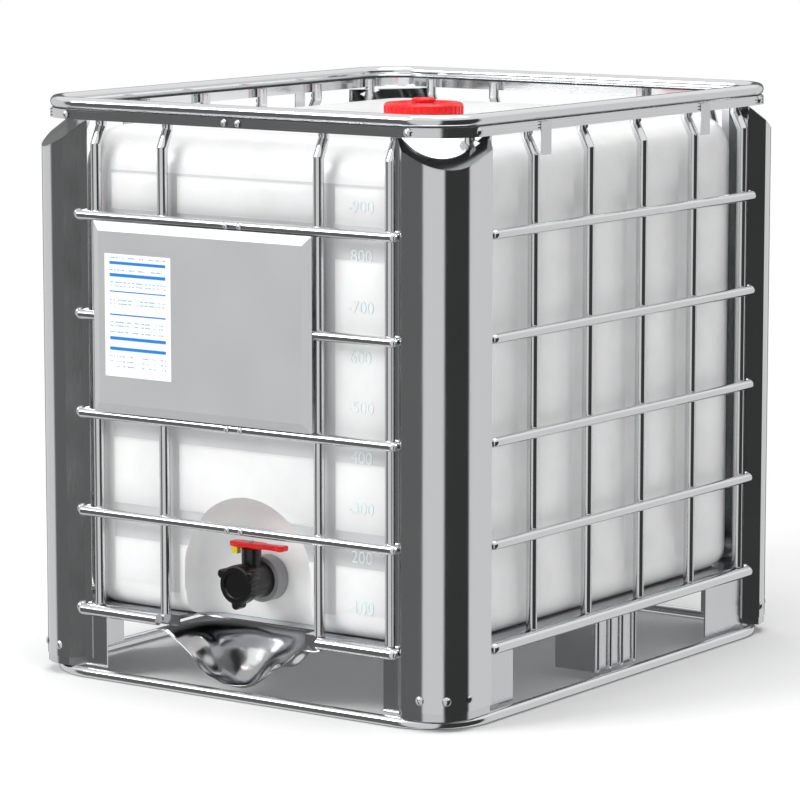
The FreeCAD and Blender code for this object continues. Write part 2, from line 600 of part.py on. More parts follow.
# The bottle is kept as four shells that meet face to face: its front with the recess, its top, its
# neck and the rest.
whole_bottle = solid(bottle_shape())
split_front = f"({STUB_FACE} - bottle_wall - 8)"
split_top = "(bottle_top - bottle_shoulder)"
front_space = box("width", "depth", split_top, "-width / 2", f"-(depth + {split_front})", "0")
rear_space = box("width", f"depth + {split_front}", split_top, "-width / 2", f"-{split_front}", "0")
top_space = box("width", "depth", "bottle_shoulder", "-width / 2", "-depth / 2", split_top)
neck_space = box("width", "depth", "2 * neck_rise", "-width / 2", "-depth / 2", "bottle_top")
spaces = {"bottle_front": front_space, "bottle_body": rear_space, "bottle_top": top_space, "bottle_neck": neck_space}
for name, space in spaces.items():
    shell = doc.addObject("Part::Common", "Shell")
    shell.Base = whole_bottle
    shell.Tool = space
    keep(name, shell)

# Lid: a skirted screw cap over the neck, with a flat gasket and a small vent plug in its centre.
LID_OUT = "(neck_radius + lid_clearance + lid_skirt)"
GASKET_TOP = f"({NECK_TOP} + seat_gap + gasket_thick)"
LID_UNDER = f"({GASKET_TOP} + seat_gap)"
LID_TOP = f"({LID_UNDER} + lid_plate)"
VENT_TOP = f"({LID_TOP} + vent_neck_rise)"


def ring(outer, inner, length, x, y, z, aim="z"):
    """A flat ring or sleeve, open along its axis."""
    return cut(cylinder(outer, length, x, y, z, aim), cylinder(inner, length, x, y, z, aim))


keep("lid_gasket", ring("neck_radius", "neck_radius - neck_wall", "gasket_thick", "0", "lid_centre_y",
                        f"{NECK_TOP} + seat_gap"))
lid_bottom = "(bottle_top + 2)"
lid_cup = cut(cylinder(LID_OUT, f"{LID_TOP} - {lid_bottom}", "0", "lid_centre_y", lid_bottom),
              cylinder("neck_radius + lid_clearance", f"{LID_UNDER} - {lid_bottom}", "0", "lid_centre_y", lid_bottom))
lid_neck = cylinder("vent_neck_radius", "vent_neck_rise + lid_plate", "0", "lid_centre_y", LID_UNDER)
lid_hole = cylinder("vent_neck_radius - 4", "vent_neck_rise + lid_plate", "0", "lid_centre_y", LID_UNDER)
keep("lid", cut(fuse([lid_cup, lid_neck]), lid_hole))
keep("vent_gasket", ring("vent_neck_radius", "vent_neck_radius - 4", "1.5", "0", "lid_centre_y", f"{VENT_TOP} + vent_lift_gap"))
vent_under = f"({VENT_TOP} + 2 * vent_lift_gap + 1.5)"
vent_cup = cut(cylinder("vent_radius", f"{vent_under} + vent_plate - {LID_TOP} - 1", "0", "lid_centre_y", f"{LID_TOP} + 1"),
               cylinder("vent_neck_radius + lid_clearance", f"{vent_under} - {LID_TOP} - 1", "0", "lid_centre_y", f"{LID_TOP} + 1"))
keep("vent_cap", vent_cup)

# Outlet valve, from the bottle's stub outwards: seal, collar nut, body, disc and stem, handle, dust cap.
keep("outlet_seal", ring("valve_bore + stub_wall", "valve_bore", "seal_thick", "0",
                         f"-({STUB_FACE} + stub_length + seat_gap)", "valve_height", "-y"))
collar_inner = cylinder("valve_bore + stub_wall + lid_clearance", "stub_length + seal_thick + 2 * seat_gap", "0",
                        f"-({STUB_FACE} + 2)", "valve_height", "-y")
collar_front = cylinder("valve_bore + valve_wall + lid_clearance", "collar_length", "0",
                        f"-({STUB_FACE} + stub_length + seal_thick)", "valve_height", "-y")
collar_block = cylinder("collar_radius", "collar_length", "0", f"-({STUB_FACE} + 2)", "valve_height", "-y")
keep("collar_nut", cut(collar_block, fuse([collar_inner, collar_front])))

valve_barrel = cylinder("valve_bore + valve_wall", "valve_length", "0", f"-{VALVE_BACK}", "valve_height", "-y")
bonnet = cylinder("bonnet_radius", "bonnet_top - valve_height", "0", f"-{STEM_Y}", "valve_height")
bore = cylinder("valve_bore", "valve_length + 4", "0", f"-({VALVE_BACK} - 2)", "valve_height", "-y")
stem_top = "stem_radius + stem_clearance"
stem_hole = cylinder(stem_top, "bonnet_top - valve_height + 1", "0", f"-{STEM_Y}", "valve_height")
keep("valve_body", cut(fuse([valve_barrel, bonnet]), fuse([bore, stem_hole])))

disc = cylinder("valve_bore - disc_clearance", "disc_thick", "0", f"-({STEM_Y} - disc_thick / 2)", "valve_height", "-y")
stem_up = cylinder("stem_radius", f"{HANDLE_BASE} - valve_height + handle_thick / 2", "0", f"-{STEM_Y}", "valve_height")
keep("valve_disc", fuse([disc, stem_up]))

handle_hub = cylinder("handle_half_width", "handle_thick", "0", f"-{STEM_Y}", HANDLE_BASE)
handle_bar = box("handle_long + handle_short", "1.5 * handle_half_width", "handle_thick", "-handle_short",
                 f"-{STEM_Y} - 0.75 * handle_half_width", HANDLE_BASE)
socket = cylinder("stem_radius + seat_gap", "handle_thick / 2 + seat_gap", "0", f"-{STEM_Y}", HANDLE_BASE)
keep("valve_handle", cut(fuse([handle_hub, handle_bar]), socket))
keep("handle_screw", cylinder("screw_radius", "3", "0", f"-{STEM_Y}", f"{HANDLE_BASE} + handle_thick + seat_gap"))
keep("handle_lock", box("12", "12", "14", "-handle_short + 4", f"-{STEM_Y} - 6", f"{HANDLE_BASE} - seat_gap - 14"))

cap_inner = "(valve_bore + valve_wall + cap_clearance)"
gasket_y = f"({VALVE_FRONT} + seat_gap)"
keep("cap_gasket", ring("valve_bore + valve_wall", "valve_bore", "gasket_thick", "0", f"-{gasket_y}", "valve_height", "-y"))
cap_plate_y = f"({gasket_y} + gasket_thick + seat_gap)"
cap_start = f"({cap_plate_y} + cap_plate - cap_depth)"
cap_block = cylinder("cap_radius", "cap_depth", "0", f"-{cap_start}", "valve_height", "-y")
cap_hollow = cylinder(cap_inner, "cap_depth - cap_plate", "0", f"-{cap_start}", "valve_height", "-y")
knobs = [
    cylinder("cap_knob_radius", "cap_depth", f"cap_radius * cos({angle})", f"-{cap_start}",
             f"valve_height + cap_radius * sin({angle})", "-y")
    for angle in (90, 210, 330)
]
keep("dust_cap", cut(fuse([cap_block] + knobs), cap_hollow))


# Label plate: a folded sheet in front of the upper cross bars, with a blank sheet on it.
def plate_shape():
    left, right = -size("plate_left"), size("plate_right")
    low, high, bevel = size("plate_bottom"), size("plate_top"), size("plate_bevel")
    back = -size(PLATE_BACK)
    front = back - size("plate_thick")

    def frame_at(y, inset):
        points = [(left + inset, low + inset), (right - inset, low + inset),
                  (right - inset, high - inset), (left + inset, high - inset)]
        corners = [Vector(x, y, z) for x, z in points]
        return Part.makePolygon(corners + corners[:1])

    return Part.makeLoft([frame_at(back, 0), frame_at(front, bevel)], True, True)


keep("label_plate", solid(plate_shape()))
keep("label_sheet", box("sheet_width", "sheet_thick", "sheet_height", "plate_bevel + sheet_margin_x - plate_left",
                        f"-({PLATE_BACK} + plate_thick + seat_gap / 3 + sheet_thick)",
                        "plate_top - sheet_margin_top - sheet_height"))

doc.recompute()
failed = [thing.Name for thing in doc.Objects if "Invalid" in thing.State or "Error" in thing.State]
if failed:
    raise RuntimeError(f"objects that did not recompute: {failed}")
for name, thing in nodes.items():
    if thing.Shape.isNull() or not thing.Shape.isValid() or not thing.Shape.Solids:
        raise RuntimeError(f"{name} has no valid solid")

os.makedirs("parts", exist_ok=True)
for name, thing in nodes.items():
    thing.Shape.exportStep(f"parts/{name}.step")
    bounds = thing.Shape.BoundBox
    print(f"{name}: {len(thing.Shape.Solids)} solids, X {bounds.XMin:.1f}..{bounds.XMax:.1f}, "
          f"Y {bounds.YMin:.1f}..{bounds.YMax:.1f}, Z {bounds.ZMin:.1f}..{bounds.ZMax:.1f}")
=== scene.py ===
import math

import bmesh
import bpy
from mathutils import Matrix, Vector


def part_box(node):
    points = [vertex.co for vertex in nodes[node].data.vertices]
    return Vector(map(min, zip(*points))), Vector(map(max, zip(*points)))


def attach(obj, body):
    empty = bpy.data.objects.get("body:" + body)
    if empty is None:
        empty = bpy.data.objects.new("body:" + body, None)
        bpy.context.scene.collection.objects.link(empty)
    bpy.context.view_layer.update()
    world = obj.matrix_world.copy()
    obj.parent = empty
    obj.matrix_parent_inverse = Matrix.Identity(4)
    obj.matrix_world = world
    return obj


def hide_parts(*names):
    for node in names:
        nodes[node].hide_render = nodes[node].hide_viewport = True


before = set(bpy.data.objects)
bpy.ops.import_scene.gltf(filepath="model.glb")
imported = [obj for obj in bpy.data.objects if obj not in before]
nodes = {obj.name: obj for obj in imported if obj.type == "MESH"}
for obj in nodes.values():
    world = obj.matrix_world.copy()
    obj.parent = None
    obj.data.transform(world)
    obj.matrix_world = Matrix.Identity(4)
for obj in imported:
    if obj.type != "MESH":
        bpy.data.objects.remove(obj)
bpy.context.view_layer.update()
bpy.ops.object.select_all(action="DESELECT")


# Studio: a pale floor, a large soft key lamp at the front left, a second one overhead, and a bright
# room with a few dark panels around it, which polished steel needs to show its roundness.
ROOM_DIFFUSE, ROOM_BRIGHT, ROOM_DARK, ROOM_MID = "#C6C6C6", "#E4E4E4", "#3C3C3C", "#6A6A6A"
FLOOR_RADIUS, SHADOW_RADIUS, WHITE_RADIUS = 3.4, 1.1, 2.6
PANEL_TOPS = (0.28, 0.42)
LAMPS = (("key", (-3.6, -6.0, 5.0), 3.5, 330), ("top", (0.5, 0.0, 5.5), 4.0, 150))
LAMP_TARGET = Vector((0, 0, 0.5))
CAMERA_PLACE, CAMERA_TILT, CAMERA_TURN = (4.4295, -6.3116, 1.6415), math.radians(81.62), math.radians(35.28)
CAMERA_LENS, CAMERA_SENSOR, CAMERA_REACH = 175.76, 36, 100


def linear(code):
    """The linear colour of an sRGB hex value."""
    levels = [int(code[start:start + 2], 16) / 255 for start in (1, 3, 5)]
    return [v / 12.92 if v <= 0.04045 else ((v + 0.055) / 1.055) ** 2.4 for v in levels] + [1.0]


def add_node(tree, kind, inputs=None, **settings):
    """A node with its settings; each input is a value or another node's output."""
    node = tree.nodes.new(kind)
    for key, value in settings.items():
        setattr(node, key, value)
    for key, value in (inputs or {}).items():
        if isinstance(value, bpy.types.NodeSocket):
            tree.links.new(value, node.inputs[key])
        else:
            node.inputs[key].default_value = value
    return node


def set_ramp(node, stops):
    """Puts (position, hex) stops on a colour ramp."""
    ramp = node.color_ramp
    while len(ramp.elements) < len(stops):
        ramp.elements.new(0.5)
    for element, (position, code) in zip(ramp.elements, stops):
        element.position = position
        element.color = linear(code)


world = bpy.data.worlds.new("studio")
bpy.context.scene.world = world
world.use_nodes = True
tree = world.node_tree
tree.nodes.clear()
around = add_node(tree, "ShaderNodeTexCoord").outputs["Generated"]
bearing = add_node(tree, "ShaderNodeTexGradient", {"Vector": around}, gradient_type="RADIAL")
panels = add_node(tree, "ShaderNodeValToRGB", {"Fac": bearing.outputs["Fac"]})
set_ramp(panels, [(0.0, ROOM_BRIGHT), (0.08, ROOM_BRIGHT), (0.10, ROOM_MID), (0.19, ROOM_MID), (0.21, ROOM_BRIGHT),
                  (0.37, ROOM_BRIGHT), (0.39, ROOM_DARK), (0.60, ROOM_DARK), (0.625, ROOM_BRIGHT),
                  (0.76, ROOM_BRIGHT), (0.78, ROOM_MID), (0.90, ROOM_MID), (0.93, ROOM_BRIGHT)])
height = add_node(tree, "ShaderNodeSeparateXYZ", {"Vector": around}).outputs["Z"]
overhead = add_node(tree, "ShaderNodeMapRange", {"Value": height, "From Min": PANEL_TOPS[0],
                                                "From Max": PANEL_TOPS[1]})
walls = add_node(tree, "ShaderNodeMix", {"Factor": overhead.outputs["Result"], "A": panels.outputs["Color"],
                                         "B": linear("#FFFFFF")}, data_type="RGBA")
ray = add_node(tree, "ShaderNodeLightPath").outputs
lit = add_node(tree, "ShaderNodeMix", {"Factor": ray["Is Glossy Ray"], "A": linear(ROOM_DIFFUSE),
                                       "B": walls.outputs["Result"]}, data_type="RGBA")
straight = add_node(tree, "ShaderNodeMath", {0: ray["Is Camera Ray"], 1: ray["Is Transmission Ray"]},
                    operation="MAXIMUM")
seen = add_node(tree, "ShaderNodeMix", {"Factor": straight.outputs[0], "A": lit.outputs["Result"],
                                        "B": linear("#FFFFFF")}, data_type="RGBA")
background = add_node(tree, "ShaderNodeBackground", {"Color": seen.outputs["Result"], "Strength": 1.0})
add_node(tree, "ShaderNodeOutputWorld", {"Surface": background.outputs[0]})

bpy.ops.mesh.primitive_circle_add(vertices=96, radius=FLOOR_RADIUS, fill_type="NGON")
floor = bpy.context.object
floor.name = "floor"
paint = bpy.data.materials.new("pale_studio_floor")
paint.use_nodes = True
tree = paint.node_tree
tree.nodes.clear()
spot = add_node(tree, "ShaderNodeTexCoord").outputs["Object"]
reach = add_node(tree, "ShaderNodeVectorMath", {0: spot}, operation="LENGTH").outputs["Value"]
fade = add_node(tree, "ShaderNodeMapRange", {"Value": reach, "From Min": SHADOW_RADIUS,
                                                 "From Max": WHITE_RADIUS},
                interpolation_type="SMOOTHSTEP")
ray = add_node(tree, "ShaderNodeLightPath").outputs
plain = add_node(tree, "ShaderNodeMath", {0: fade.outputs["Result"], 1: ray["Is Camera Ray"]},
                 operation="MULTIPLY")
matt = add_node(tree, "ShaderNodeBsdfDiffuse", {"Color": linear("#FAFAFA")})
white = add_node(tree, "ShaderNodeEmission", {"Color": linear("#FFFFFF"), "Strength": 1.0})
mixed = add_node(tree, "ShaderNodeMixShader", {"Fac": plain.outputs[0], 1: matt.outputs[0],
                                               2: white.outputs[0]})
clear = add_node(tree, "ShaderNodeBsdfTransparent")
shown = add_node(tree, "ShaderNodeMixShader", {"Fac": ray["Is Glossy Ray"], 1: mixed.outputs[0],
                                               2: clear.outputs[0]})
add_node(tree, "ShaderNodeOutputMaterial", {"Surface": shown.outputs[0]})
floor.data.materials.append(paint)

for name, spot, size, power in LAMPS:
    bpy.ops.object.light_add(type="AREA", location=spot)
    lamp = bpy.context.object
    lamp.name = name
    lamp.data.size = size
    lamp.data.energy = power
    lamp.rotation_euler = (LAMP_TARGET - Vector(spot)).to_track_quat("-Z", "Y").to_euler()

bpy.ops.object.camera_add(location=CAMERA_PLACE, rotation=(CAMERA_TILT, 0, CAMERA_TURN))
camera = bpy.context.object
camera.data.sensor_width = CAMERA_SENSOR
camera.data.lens = CAMERA_LENS
camera.data.clip_end = CAMERA_REACH
bpy.context.scene.camera = camera
bpy.context.scene.view_settings.view_transform = "Standard"


# Foot ring, legs and deck rails: stainless tube and 3 mm stainless sheet, pressed and welded into
# one base. The sheet keeps the fine rolling grain of the mill, the tube is polished.
GRAIN_MM, WAVE_MM, WAVE_HEIGHT = 1.2, 140, 0.02


def new_material(name, colour, roughness, metallic=0.0):
    """A material with one principled shader; returns it with its tree and shader."""
    material = bpy.data.materials.new(name)
    material.use_nodes = True
    tree = material.node_tree
    tree.nodes.clear()
    shader = add_node(tree, "ShaderNodeBsdfPrincipled",
                      {"Base Color": linear(colour), "Roughness": roughness, "Metallic": metallic})
    add_node(tree, "ShaderNodeOutputMaterial", {"Surface": shader.outputs[0]})
    return material, tree, shader


def stainless(name, colour, roughness, spread, wave, grain=(1, 1, 1), metallic=1.0):
    """Polished or rolled stainless steel: uneven gloss, a fine grain and slow waves in the surface."""
    material, tree, shader = new_material(name, colour, roughness, metallic)
    place = add_node(tree, "ShaderNodeTexCoord").outputs["Object"]
    lay = add_node(tree, "ShaderNodeMapping", {"Vector": place, "Scale": [1000 / GRAIN_MM * g for g in grain]})
    fine = add_node(tree, "ShaderNodeTexNoise", {"Vector": lay.outputs[0], "Scale": 1.0, "Detail": 2.0})
    slow = add_node(tree, "ShaderNodeTexNoise", {"Vector": place, "Scale": 1000 / WAVE_MM, "Detail": 1.0})
    both = add_node(tree, "ShaderNodeMath", {0: fine.outputs["Fac"], 1: slow.outputs["Fac"]},
                    operation="MULTIPLY")
    gloss = add_node(tree, "ShaderNodeMapRange", {"Value": both.outputs[0], "From Min": 0.1, "From Max": 0.45,
                                                  "To Min": roughness - spread, "To Max": roughness + spread})
    tree.links.new(gloss.outputs["Result"], shader.inputs["Roughness"])
    bumped = add_node(tree, "ShaderNodeBump", {"Strength": wave, "Distance": WAVE_HEIGHT,
                                               "Height": slow.outputs["Fac"]})
    tree.links.new(bumped.outputs[0], shader.inputs["Normal"])
    return material


def finish_node(name, material):
    """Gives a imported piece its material."""
    mesh = nodes[name].data
    mesh.materials.clear()
    mesh.materials.append(material)


tube_steel = stainless("polished_stainless_tube", "#DADCDD", 0.13, 0.05, 0.05)
sheet_steel = stainless("rolled_stainless_sheet", "#D2D4D6", 0.17, 0.06, 0.12, grain=(1, 1, 0.05))
for name in ("bottom_ring", "deck_rail_front", "deck_rail_back", "deck_rail_left", "deck_rail_right"):
    finish_node(name, tube_steel)
for corner in ("back_right", "back_left", "front_right", "front_left"):
    finish_node("corner_leg_" + corner, sheet_steel)
for side in ("left", "right"):
    finish_node("mid_leg_" + side, sheet_steel)


# Deck pan and drain lip: one dished 3 mm stainless sheet under the bottle with a pressed spout below
# the valve, which leads spilled liquid off the pallet.
finish_node("deck_pan", sheet_steel)


# Bottle: blow-moulded natural HDPE, 4 mm thick, with raised panels between flat channels at the
# front and back, pillows with soft vertical grooves at the sides and a deep arched recess for the valve.
PANEL_COLUMNS = ((-0.325, -0.205), (-0.165, 0.165), (0.205, 0.325))
PANEL_ROWS = ((0.190, 0.278), (0.345, 0.474), (0.512, 0.851), (0.915, 0.985))
PANEL_RISE, PANEL_EDGE = 0.004, 0.005
SIDE_GROOVES, GROOVE_HALF, GROOVE_DEPTH = (-0.285, -0.095, 0.095, 0.285), 0.022, 0.012
BODY_TOP, BODY_RADIUS, SHOULDER, BASE_ROUND = 1.068, 0.120, 0.078, 0.043
RECESS_HALF, RECESS_ARCH, RECESS_BACK, RECESS_ROUND = 0.150, 0.235, -0.4789, 0.050
PANEL_FLAT, FACE_TOLERANCE, CHANNEL_TOP = 0.99, 0.0015, 1.020
NECK_CENTRE_Y, NECK_FLARE, NECK_SINK = 0.030, 0.0935, 0.004
NECK_STEPS = ((0.006, 0.0835), (0.001, 0.0735), (0.0175, 0.0735), (0.0005, 0.0675))
STUB_RADIUS, STUB_WALL, STUB_LONG, STUB_MIDDLE, VALVE_HEIGHT = 0.031, 0.006, 0.030, -0.4904, 0.223


def pick(kind, test):
    """In edit mode, leaves only the vertices, edges or faces that pass the test selected."""
    mesh = bpy.context.object.data
    bpy.ops.mesh.select_mode(type=kind)
    bpy.ops.mesh.select_all(action="DESELECT")
    shape = bmesh.from_edit_mesh(mesh)
    for part in {"VERT": shape.verts, "EDGE": shape.edges, "FACE": shape.faces}[kind]:
        if test(part):
            part.select_set(True)
    shape.select_flush_mode()
    bmesh.update_edit_mesh(mesh)


def start(operator, **settings):
    """Adds a primitive with its size applied and opens it in edit mode, all selected."""
    bpy.ops.object.select_all(action="DESELECT")
    operator(**settings)
    bpy.ops.object.transform_apply(location=True, rotation=True, scale=True)
    bpy.ops.object.mode_set(mode="EDIT")
    bpy.ops.mesh.select_all(action="SELECT")
    return bpy.context.object


def modify(piece, kind, **settings):
    """Adds a modifier and applies it."""
    bpy.context.view_layer.objects.active = piece
    modifier = piece.modifiers.new(kind.lower(), kind)
    for key, value in settings.items():
        setattr(modifier, key, value)
    bpy.ops.object.modifier_apply(modifier=modifier.name)


def slice_at(axis, value):
    """Cuts the whole mesh in edit mode along a plane across one axis."""
    bpy.ops.mesh.select_all(action="SELECT")
    normal = [0, 0, 0]
    normal[axis] = 1
    bpy.ops.mesh.bisect(plane_co=[value * n for n in normal], plane_no=normal)


def subtract(piece, cutter):
    """Takes the cutter's space out of the piece and removes the cutter."""
    modify(piece, "BOOLEAN", operation="DIFFERENCE", object=cutter, solver="EXACT")
    bpy.data.objects.remove(cutter)


def settle(piece, name, material, body, replaced=(), angle=35):
    """Names, smooths, paints and places a finished piece on its body."""
    bpy.ops.object.select_all(action="DESELECT")
    piece.select_set(True)
    bpy.context.view_layer.objects.active = piece
    bpy.ops.object.shade_smooth_by_angle(angle=math.radians(angle))
    bpy.ops.object.transform_apply(location=True, rotation=True, scale=True)
    piece.name = name
    piece.data.name = name
    if material:
        piece.data.materials.clear()
        piece.data.materials.append(material)
    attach(piece, body)
    if replaced:
        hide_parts(*replaced)
    return piece


low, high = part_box("bottle_top")
low.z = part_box("bottle_body")[0].z
block = start(bpy.ops.mesh.primitive_cube_add, size=1, location=(0, 0, (low.z + BODY_TOP) / 2),
              scale=(high.x - low.x - 0.002, high.y - low.y - 0.002, BODY_TOP - low.z))
pick("EDGE", lambda edge: abs(edge.verts[0].co.z - edge.verts[1].co.z) > 0.5)
bpy.ops.mesh.bevel(offset=BODY_RADIUS, segments=10, affect="EDGES")
pick("FACE", lambda face: face.normal.z > 0.9)
bpy.ops.mesh.region_to_loop()
bpy.ops.mesh.bevel(offset=SHOULDER, segments=7, affect="EDGES")
pick("FACE", lambda face: face.normal.z < -0.9)
bpy.ops.mesh.region_to_loop()
bpy.ops.mesh.bevel(offset=BASE_ROUND, segments=5, affect="EDGES")
for value in sorted({v for column in PANEL_COLUMNS for v in column}):
    slice_at(0, value)
for value in sorted({v for row in PANEL_ROWS for v in row}):
    slice_at(2, value)
for groove in SIDE_GROOVES:
    slice_at(1, groove - GROOVE_HALF)
    slice_at(1, groove + GROOVE_HALF)


def in_panel(face):
    spot = face.calc_center_median()
    return (abs(face.normal.y) > PANEL_FLAT and any(a < spot.x < b for a, b in PANEL_COLUMNS)
            and any(a < spot.z < b for a, b in PANEL_ROWS))


def in_groove(face):
    spot = face.calc_center_median()
    return (abs(face.normal.x) > PANEL_FLAT
            and any(abs(spot.y - groove) < GROOVE_HALF for groove in SIDE_GROOVES)
            and PANEL_ROWS[0][0] < spot.z < PANEL_ROWS[-1][1])


pick("FACE", in_panel)
bpy.ops.mesh.inset(thickness=PANEL_EDGE, depth=PANEL_RISE)
pick("FACE", in_groove)
bpy.ops.mesh.inset(thickness=GROOVE_HALF * 0.75, depth=-GROOVE_DEPTH)
bpy.ops.object.mode_set(mode="OBJECT")

arch = start(bpy.ops.mesh.primitive_cylinder_add, vertices=64, radius=RECESS_HALF, depth=0.2,
             location=(0, RECESS_BACK - 0.1, RECESS_ARCH), rotation=(math.pi / 2, 0, 0))
pick("VERT", lambda vert: vert.co.z < RECESS_ARCH - 0.001)
bpy.ops.transform.translate(value=(0, 0, -0.2))
pick("EDGE", lambda edge: all(abs(vert.co.y - RECESS_BACK) < 1e-4 for vert in edge.verts))
bpy.ops.mesh.bevel(offset=RECESS_ROUND, segments=6, affect="EDGES")
bpy.ops.object.mode_set(mode="OBJECT")
subtract(block, arch)

neck = start(bpy.ops.mesh.primitive_circle_add, vertices=96, radius=NECK_FLARE, fill_type="NGON",
             location=(0, NECK_CENTRE_Y, BODY_TOP - NECK_SINK))
width_now = NECK_FLARE
for rise, radius in NECK_STEPS:
    bpy.ops.mesh.extrude_region_move(TRANSFORM_OT_translate={"value": (0, 0, rise)})
    bpy.ops.transform.resize(value=(radius / width_now, radius / width_now, 1),
                             center_override=(0, NECK_CENTRE_Y, 0))
    width_now = radius
bpy.ops.object.mode_set(mode="OBJECT")

stub = start(bpy.ops.mesh.primitive_cylinder_add, vertices=64, radius=STUB_RADIUS, depth=STUB_LONG,
             location=(0, STUB_MIDDLE, VALVE_HEIGHT), rotation=(math.pi / 2, 0, 0))
pick("FACE", lambda face: face.normal.y < -0.9)
bpy.ops.mesh.inset(thickness=STUB_WALL, depth=0)
bpy.ops.mesh.extrude_region_move(TRANSFORM_OT_translate={"value": (0, STUB_LONG * 2 / 3, 0)})
bpy.ops.object.mode_set(mode="OBJECT")
block.select_set(True)
neck.select_set(True)
stub.select_set(True)
bpy.context.view_layer.objects.active = block
bpy.ops.object.join()

hdpe, tree, shader = new_material("blow_moulded_hdpe", "#F3F4F4", 0.28)
shader.inputs["IOR"].default_value = 1.54
shader.inputs["Subsurface Weight"].default_value = 0.25
shader.inputs["Subsurface Scale"].default_value = 0.012
place = add_node(tree, "ShaderNodeTexCoord").outputs["Object"]
flow = add_node(tree, "ShaderNodeTexNoise", {"Vector": place, "Scale": 1000 / 90, "Detail": 3.0})
tint = add_node(tree, "ShaderNodeValToRGB", {"Fac": flow.outputs["Fac"]})
set_ramp(tint, [(0.3, "#EFF0F0"), (0.7, "#F8F9F9")])
tree.links.new(tint.outputs["Color"], shader.inputs["Base Color"])
pebble = add_node(tree, "ShaderNodeTexNoise", {"Vector": place, "Scale": 1000 / 6, "Detail": 2.0})
skin = add_node(tree, "ShaderNodeBump", {"Strength": 0.08, "Distance": 0.001, "Height": pebble.outputs["Fac"]})
tree.links.new(skin.outputs[0], shader.inputs["Normal"])

# The channels of the front and back are thicker; their darker grey is painted shade for the light they let less
# through.
channel_shade_hdpe, tree, shader = new_material("hdpe_with_painted_channel_shade", "#D9DBDC", 0.3)
shader.inputs["IOR"].default_value = 1.54
place = add_node(tree, "ShaderNodeTexCoord").outputs["Object"]
cloud = add_node(tree, "ShaderNodeTexNoise", {"Vector": place, "Scale": 1000 / 120, "Detail": 2.0})
tint = add_node(tree, "ShaderNodeValToRGB", {"Fac": cloud.outputs["Fac"]})
set_ramp(tint, [(0.3, "#D2D4D5"), (0.7, "#DFE0E1")])
tree.links.new(tint.outputs["Color"], shader.inputs["Base Color"])
settle(block, "bottle_shell", hdpe, "container",
       ["bottle_front", "bottle_body", "bottle_top", "bottle_neck"], angle=42)
block.data.materials.append(channel_shade_hdpe)
# Faces in the front and back channels take the second material, whose darker grey is painted shade.
for face in block.data.polygons:
    spot = face.center
    in_column = any(a < spot.x < b for a, b in PANEL_COLUMNS)
    if (abs(face.normal.y) > PANEL_FLAT and abs(abs(spot.y) - abs(low.y)) < FACE_TOLERANCE
            and abs(spot.x) < PANEL_COLUMNS[-1][1]
            and spot.z < CHANNEL_TOP and not (spot.z < PANEL_ROWS[0][0] and in_column)):
        face.material_index = 1

# Litre marks: plain numbers moulded proud of the front at the right, one per hundred litres, in the
# same white HDPE as the bottle, with a dash before the odd hundreds.
MARK_X, MARK_SIZE, MARK_PROUD = 0.266, 0.033, 0.0012
MARK_HEIGHTS = (0.204, 0.298, 0.390, 0.485, 0.579, 0.672, 0.765, 0.859, 0.950)
marks = []
for index, height in enumerate(MARK_HEIGHTS, start=1):
    bpy.ops.object.select_all(action="DESELECT")
    raised = any(a < height < b for a, b in PANEL_ROWS)
    bpy.ops.object.text_add(location=(MARK_X, low.y + 0.001 - (PANEL_RISE if raised else 0), height),
                            rotation=(math.pi / 2, 0, 0))
    text = bpy.context.object
    text.data.body = f"-{index}00" if index % 2 else f"{index}00"
    text.data.size = MARK_SIZE
    text.data.extrude = MARK_PROUD
    text.data.align_x = "CENTER"
    text.data.align_y = "CENTER"
    bpy.ops.object.convert(target="MESH")
    bpy.ops.object.transform_apply(location=True, rotation=True, scale=True)
    marks.append(bpy.context.object)
for mark in marks:
    mark.select_set(True)
bpy.ops.object.join()
settle(bpy.context.object, "litre_marks", hdpe, "container")


# Cage: rows of polished stainless tube welded to upright tubes whose upper ends are bent in and
# fixed under the top frame, two of them on each long side in folded sheet sleeves.
for side in ("front", "back", "left", "right"):
    finish_node("cross_bars_" + side, tube_steel)
    finish_node("uprights_" + side, tube_steel)
for side in ("left", "right"):
    finish_node("upright_hooks_" + side, sheet_steel)
finish_node("top_tube", tube_steel)
finish_node("top_band", tube_steel)

# Corner guards and their slanted caps: 1.5 mm stainless sheet, rolled round the corner with stepped
# flanges, bolted at foot and top; its bright finish mirrors the room in broad upright bands.
guard_steel = stainless("folded_stainless_sheet", "#D8DADB", 0.12, 0.04, 0.03, grain=(1, 1, 0.05))
for corner in ("back_right", "back_left", "front_right", "front_left"):
    finish_node("corner_guard_" + corner, guard_steel)
    finish_node("guard_cap_" + corner, guard_steel)

# Bolts: button heads of turned stainless steel that hold guards, top frame and label plate, and the
# small screws in the flattened ends of the uprights; a little duller than the tubes.
bolt_steel = stainless("turned_stainless_bolt", "#CFD1D3", 0.2, 0.05, 0.02)
for name in ("guard_foot_bolts", "top_frame_bolts", "twin_bolts", "upright_screws", "handle_screw"):
    finish_node(name, bolt_steel)

# Label plate: a tray of matt galvanised sheet with sloped borders, hung in front of the cross bars.
plate_zinc = stainless("galvanised_plate", "#C4C5C6", 0.45, 0.06, 0.05, metallic=0.4)
finish_node("label_plate", plate_zinc)

